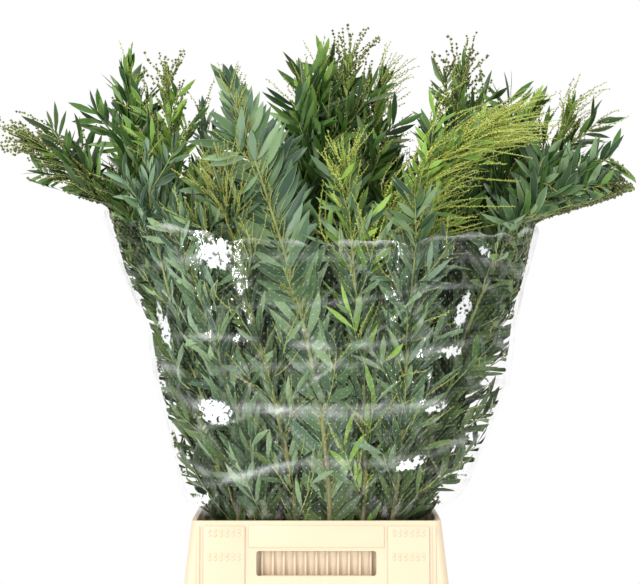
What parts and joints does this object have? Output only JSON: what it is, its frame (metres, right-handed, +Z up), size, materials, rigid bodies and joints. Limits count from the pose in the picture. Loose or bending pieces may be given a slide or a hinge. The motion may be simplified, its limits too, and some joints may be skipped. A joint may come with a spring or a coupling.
{
  "type": "bunch of cut green wattle stems in a flower tub",
  "caption": "Bunch of budding green wattle foliage, cut stems in a clear perforated film sleeve, standing upright in a rectangular cream plastic flower tub.",
  "frame": {"origin": "middle of the tub's flat underside, where it stands on the floor", "axes": "+Z up, -Y towards the front, which the picture shows, +X to its right"},
  "size_m": [0.971, 0.5203, 1.066],
  "materials": {
    "tub_plastic": "moulded cream plastic with a soft sheen",
    "film": "clear glossy perforated film, creased",
    "stem_bark": "green to tan ridged bark",
    "foliage": "smooth grey-green leaves with pale margins, yellow-green bud sprays"
  },
  "bodies": {
    "root": {"sleeve": "film", "spray_back_centre": "foliage", "spray_back_centre_left": "foliage", "spray_back_centre_right": "foliage", "spray_back_far_left": "foliage", "spray_back_far_right": "foliage", "spray_back_left": "foliage", "spray_back_left_low": "foliage", "spray_back_low": "foliage", "spray_back_right": "foliage", "spray_back_right_low": "foliage", "spray_far_left": "foliage", "spray_far_right_low": "foliage", "spray_far_right_tall": "foliage", "spray_front_centre": "foliage", "spray_front_left_low": "foliage", "spray_front_main": "foliage", "spray_front_olive": "foliage", "spray_front_right_low": "foliage", "spray_left_bright": "foliage", "spray_left_narrow": "foliage", "spray_left_small": "foliage", "spray_left_tall": "foliage", "spray_right_fan": "foliage", "spray_right_golden": "foliage", "spray_right_tall": "foliage", "spray_top_buds": "foliage", "spray_top_centre": "foliage", "spray_top_left": "foliage", "spray_top_right": "foliage", "stem_back_centre": "stem_bark", "stem_back_centre_left": "stem_bark", "stem_back_centre_right": "stem_bark", "stem_back_far_left": "stem_bark", "stem_back_far_right": "stem_bark", "stem_back_left": "stem_bark", "stem_back_left_low": "stem_bark", "stem_back_low": "stem_bark", "stem_back_right": "stem_bark", "stem_back_right_low": "stem_bark", "stem_far_left": "stem_bark", "stem_far_right_low": "stem_bark", "stem_far_right_tall": "stem_bark", "stem_front_centre": "stem_bark", "stem_front_left_low": "stem_bark", "stem_front_main": "stem_bark", "stem_front_olive": "stem_bark", "stem_front_right_low": "stem_bark", "stem_left_bright": "stem_bark", "stem_left_narrow": "stem_bark", "stem_left_small": "stem_bark", "stem_left_tall": "stem_bark", "stem_right_fan": "stem_bark", "stem_right_golden": "stem_bark", "stem_right_tall": "stem_bark", "stem_top_buds": "stem_bark", "stem_top_centre": "stem_bark", "stem_top_left": "stem_bark", "stem_top_right": "stem_bark", "tub": "tub_plastic"}
  },
  "joints": []
}
